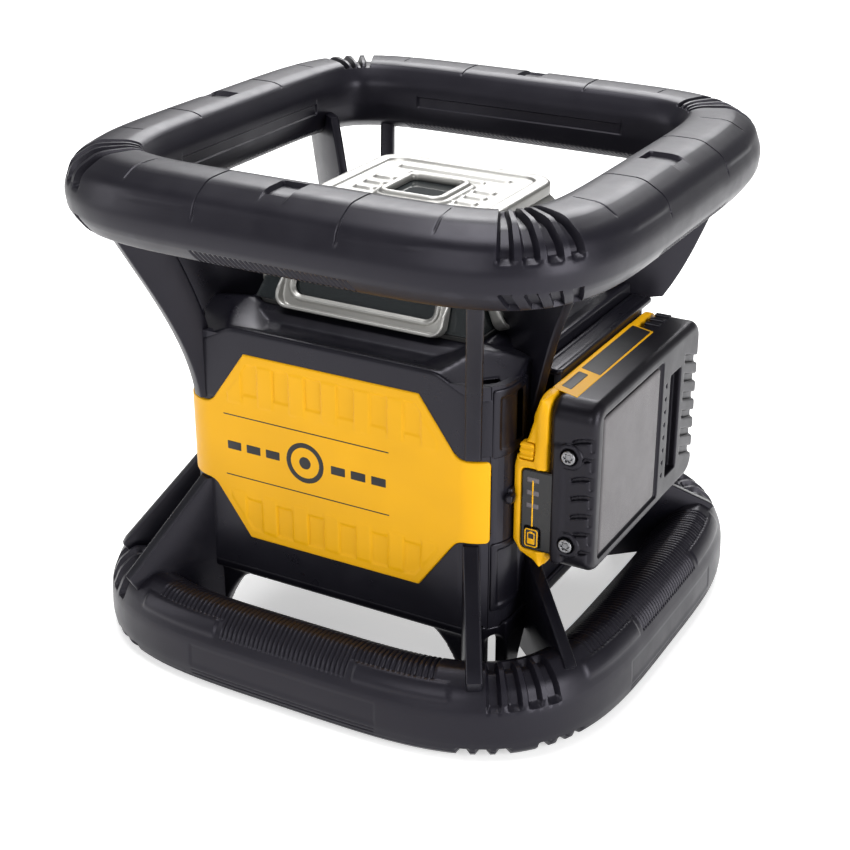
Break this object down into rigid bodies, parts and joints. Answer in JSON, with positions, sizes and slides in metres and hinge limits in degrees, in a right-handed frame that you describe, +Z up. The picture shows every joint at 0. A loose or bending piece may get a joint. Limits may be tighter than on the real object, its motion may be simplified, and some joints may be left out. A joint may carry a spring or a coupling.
{
  "type": "rotating laser level",
  "caption": "Rotating laser level: body with a metal-caged glass head between two square bumper rings, side battery pack, rear keypad and tripod threads.",
  "frame": {"origin": "on the ground, under the middle of the lower bumper ring", "axes": "+Z up, front panel towards -Y, battery pack towards +X"},
  "size_m": [0.2638, 0.2638, 0.2335],
  "materials": {
    "bumper_rubber": "satin moulded rubber with ribs",
    "black_plastic": "satin moulded",
    "yellow_plastic": "satin moulded",
    "sheet_metal": "stamped, fine grain",
    "window_glass": "clear, slightly grey",
    "optic_glass": "polished",
    "seal_rubber": "matt",
    "alloy": "machined",
    "brass": "machined",
    "screw_steel": "zinc plated",
    "circuit_board": "solder mask",
    "cell_wrap": "shrink wrap",
    "battery_black": "satin moulded, ribbed",
    "gauge_black": "gloss label",
    "key_plastic": "soft touch"
  },
  "bodies": {
    "housing": {"upper_ring": "bumper_rubber", "lower_ring": "bumper_rubber", "upper_deck": "black_plastic", "base_tray": "black_plastic", "front_panel": "yellow_plastic", "left_panel": "yellow_plastic", "front_shell": "black_plastic", "rear_shell": "black_plastic", "keypad_panel": "black_plastic", "tripod_insert_bottom": "brass", "tripod_insert_side": "brass", "cage_top_plate": "sheet_metal", "head_window": "window_glass", "top_window": "window_glass", "head_gasket": "seal_rubber", "chassis_frame": "alloy", "levelling_motor_x": "alloy", "main_board": "circuit_board", "battery_dock": "black_plastic", "terminal_block": "key_plastic", "base_screw_front_left": "screw_steel", "base_screw_rear_left": "screw_steel", "base_screw_front_right": "screw_steel", "base_screw_rear_right": "screw_steel", "cage_frame_front": "sheet_metal", "cage_frame_right": "sheet_metal", "cage_frame_rear": "sheet_metal", "cage_frame_left": "sheet_metal"},
    "gimbal": {"gimbal_ring": "alloy", "levelling_motor_y": "alloy"},
    "laser": {"laser_tube": "alloy", "laser_diode_module": "brass", "collimator_lens": "optic_glass", "level_vial_x": "optic_glass", "level_vial_y": "optic_glass", "rotor_bearing": "alloy", "drive_motor": "alloy", "drive_belt": "seal_rubber"},
    "rotor": {"rotor_hub": "black_plastic", "pentaprism": "optic_glass", "rotor_lens": "optic_glass"},
    "drive_pulley": {"motor_pulley": "alloy"},
    "plunger_x": {"levelling_plunger_x": "brass"},
    "plunger_y": {"levelling_plunger_y": "brass"},
    "battery": {"battery_top_housing": "yellow_plastic", "battery_base_shell": "battery_black", "battery_cells": "cell_wrap", "charge_gauge": "gauge_black", "battery_screw_lower": "screw_steel", "battery_screw_upper": "screw_steel"},
    "battery_release": {"release_button": "yellow_plastic"},
    "battery_gauge_key": {"gauge_button": "gauge_black"},
    "power_key": {"power_button": "key_plastic"},
    "speed_key": {"speed_button": "key_plastic"},
    "scan_key": {"scan_button": "key_plastic"},
    "up_key": {"up_button": "key_plastic"},
    "down_key": {"down_button": "key_plastic"},
    "left_key": {"left_button": "key_plastic"},
    "right_key": {"right_button": "key_plastic"}
  },
  "joints": [
    {"name": "gimbal_tilt", "type": "hinge", "parent": "housing", "child": "gimbal", "pos_m": [0, 0, 0.112], "axis": [1, 0, 0], "range_deg": [-5, 5]},
    {"name": "tube_tilt", "type": "hinge", "parent": "gimbal", "child": "laser", "pos_m": [0, 0, 0.112], "axis": [0, 1, 0], "range_deg": [-5, 5]},
    {"name": "rotor_spin", "type": "hinge", "parent": "laser", "child": "rotor", "pos_m": [0, 0, 0.16], "axis": [0, 0, 1], "continuous": true},
    {"name": "pulley_spin", "type": "hinge", "parent": "laser", "child": "drive_pulley", "pos_m": [-0.03, 0, 0.153], "axis": [0, 0, 1], "continuous": true},
    {"name": "plunger_x_slide", "type": "slide", "parent": "housing", "child": "plunger_x", "axis": [0, 0, 1], "range_m": [-0.0036, 0.0036]},
    {"name": "plunger_y_slide", "type": "slide", "parent": "gimbal", "child": "plunger_y", "axis": [0, 0, 1], "range_m": [-0.0026, 0.0026]},
    {"name": "battery_slide", "type": "slide", "parent": "housing", "child": "battery", "axis": [0, -1, 0], "range_m": [0, 0.1]},
    {"name": "release_press", "type": "slide", "parent": "battery", "child": "battery_release", "axis": [0, 1, 0], "range_m": [0, 0.003], "stiffness_N_per_m": 900},
    {"name": "gauge_press", "type": "slide", "parent": "battery", "child": "battery_gauge_key", "axis": [0, 1, 0], "range_m": [0, 0.001], "stiffness_N_per_m": 1800},
    {"name": "power_press", "type": "slide", "parent": "housing", "child": "power_key", "axis": [0, -1, 0], "range_m": [0, 0.0012], "stiffness_N_per_m": 1500},
    {"name": "speed_press", "type": "slide", "parent": "housing", "child": "speed_key", "axis": [0, -1, 0], "range_m": [0, 0.0012], "stiffness_N_per_m": 1500},
    {"name": "scan_press", "type": "slide", "parent": "housing", "child": "scan_key", "axis": [0, -1, 0], "range_m": [0, 0.0012], "stiffness_N_per_m": 1500},
    {"name": "up_press", "type": "slide", "parent": "housing", "child": "up_key", "axis": [0, -1, 0], "range_m": [0, 0.0012], "stiffness_N_per_m": 1500},
    {"name": "down_press", "type": "slide", "parent": "housing", "child": "down_key", "axis": [0, -1, 0], "range_m": [0, 0.0012], "stiffness_N_per_m": 1500},
    {"name": "left_press", "type": "slide", "parent": "housing", "child": "left_key", "axis": [0, -1, 0], "range_m": [0, 0.0012], "stiffness_N_per_m": 1500},
    {"name": "right_press", "type": "slide", "parent": "housing", "child": "right_key", "axis": [0, -1, 0], "range_m": [0, 0.0012], "stiffness_N_per_m": 1500}
  ],
  "couplings": [
    {"joint": "pulley_spin", "follows": "rotor_spin", "ratio": 3.3333},
    {"joint": "plunger_x_slide", "follows": "gimbal_tilt", "m_per_rad": 0.0385},
    {"joint": "plunger_y_slide", "follows": "tube_tilt", "m_per_rad": -0.02641}
  ]
}
